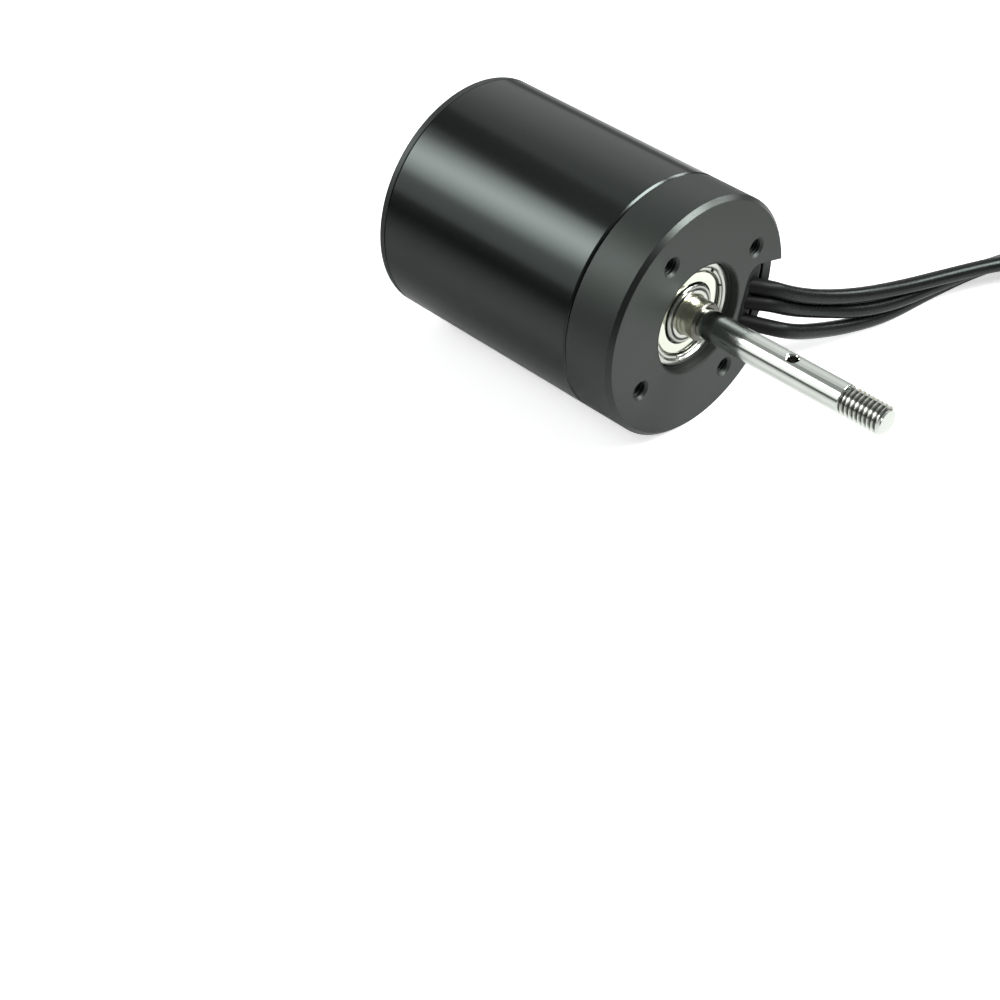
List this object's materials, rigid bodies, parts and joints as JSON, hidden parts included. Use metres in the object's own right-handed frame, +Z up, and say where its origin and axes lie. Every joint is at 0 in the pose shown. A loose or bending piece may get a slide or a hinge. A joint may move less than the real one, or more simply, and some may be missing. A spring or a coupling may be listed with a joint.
{
  "type": "waterproof brushless motor",
  "caption": "Cylindrical brushless inner-rotor motor for small boats with a threaded, cross-drilled output shaft, a flat tapped face and black leads with bullet plugs.",
  "frame": {"origin": "centre of the front mounting face, on the shaft's axis", "axes": "+X along the shaft, out of the front face; +Z up with the motor lying on its side; +Y to the side where the leads leave"},
  "size_m": [0.13, 0.1326, 0.05],
  "materials": {
    "can_anodised": "gloss black anodised, turned",
    "cap_anodised": "satin dark grey anodised, bead blasted face",
    "ground_steel": "ground and polished stainless steel",
    "race_steel": "ground bearing steel",
    "shield_steel": "pressed bright steel",
    "ball_steel": "mirror polished steel balls",
    "spring_steel": "tempered spring steel",
    "bolt_steel": "black oxide steel",
    "seal_rubber": "matt black nitrile rubber",
    "lead_silicone": "soft black silicone rubber",
    "lamination_steel": "stacked electrical steel sheet",
    "magnet": "nickel plated sintered magnet",
    "copper_winding": "enamelled copper wire",
    "insulator_plastic": "moulded ivory plastic",
    "liner_paper": "aramid slot paper",
    "board": "glass fibre board",
    "connector_gold": "gold plated brass",
    "shrink_sleeve": "black heat-shrink tube",
    "nylon": "black nylon",
    "plate_brass": "turned brass balance plate"
  },
  "bodies": {
    "housing": {"housing_tube": "can_anodised", "front_cap": "cap_anodised", "rear_cover": "cap_anodised", "tie_bolts": "bolt_steel", "front_o_ring": "seal_rubber", "rear_o_ring": "seal_rubber", "shaft_seal": "seal_rubber", "seal_spring": "spring_steel", "preload_washer": "spring_steel", "stator_core": "lamination_steel", "front_insulator": "insulator_plastic", "rear_insulator": "insulator_plastic", "slot_liners": "liner_paper", "phase_a_coils": "copper_winding", "phase_b_coils": "copper_winding", "phase_c_coils": "copper_winding", "termination_ring": "board", "phase_tails": "copper_winding", "lead_grommet": "seal_rubber", "lead_tie": "nylon", "front_bearing_outer_race": "race_steel", "front_bearing_shields": "shield_steel", "front_bearing_snap_rings": "spring_steel", "rear_bearing_outer_race": "race_steel", "rear_bearing_shields": "shield_steel", "rear_bearing_snap_rings": "spring_steel", "lead_1": "lead_silicone", "lead_connector_1": "connector_gold", "lead_sleeve_1": "shrink_sleeve", "lead_2": "lead_silicone", "lead_connector_2": "connector_gold", "lead_sleeve_2": "shrink_sleeve", "lead_3": "lead_silicone", "lead_connector_3": "connector_gold", "lead_sleeve_3": "shrink_sleeve"},
    "rotor": {"shaft": "ground_steel", "rotor_core": "lamination_steel", "rotor_magnets": "magnet", "magnet_sleeve": "ground_steel", "front_end_plate": "plate_brass", "rear_end_plate": "plate_brass", "front_bearing_inner_race": "race_steel", "rear_bearing_inner_race": "race_steel"},
    "front_cage": {"front_bearing_balls": "ball_steel", "front_bearing_cage": "shield_steel"},
    "rear_cage": {"rear_bearing_balls": "ball_steel", "rear_bearing_cage": "shield_steel"}
  },
  "joints": [
    {"name": "shaft_spin", "type": "hinge", "parent": "housing", "child": "rotor", "pos_m": [0, 0, 0], "axis": [1, 0, 0], "continuous": true},
    {"name": "front_cage_spin", "type": "hinge", "parent": "housing", "child": "front_cage", "pos_m": [-0.0056, 0, 0], "axis": [1, 0, 0], "continuous": true},
    {"name": "rear_cage_spin", "type": "hinge", "parent": "housing", "child": "rear_cage", "pos_m": [-0.0561, 0, 0], "axis": [1, 0, 0], "continuous": true}
  ],
  "couplings": [
    {"joint": "front_cage_spin", "follows": "shaft_spin", "ratio": 0.3677},
    {"joint": "rear_cage_spin", "follows": "shaft_spin", "ratio": 0.3677}
  ]
}
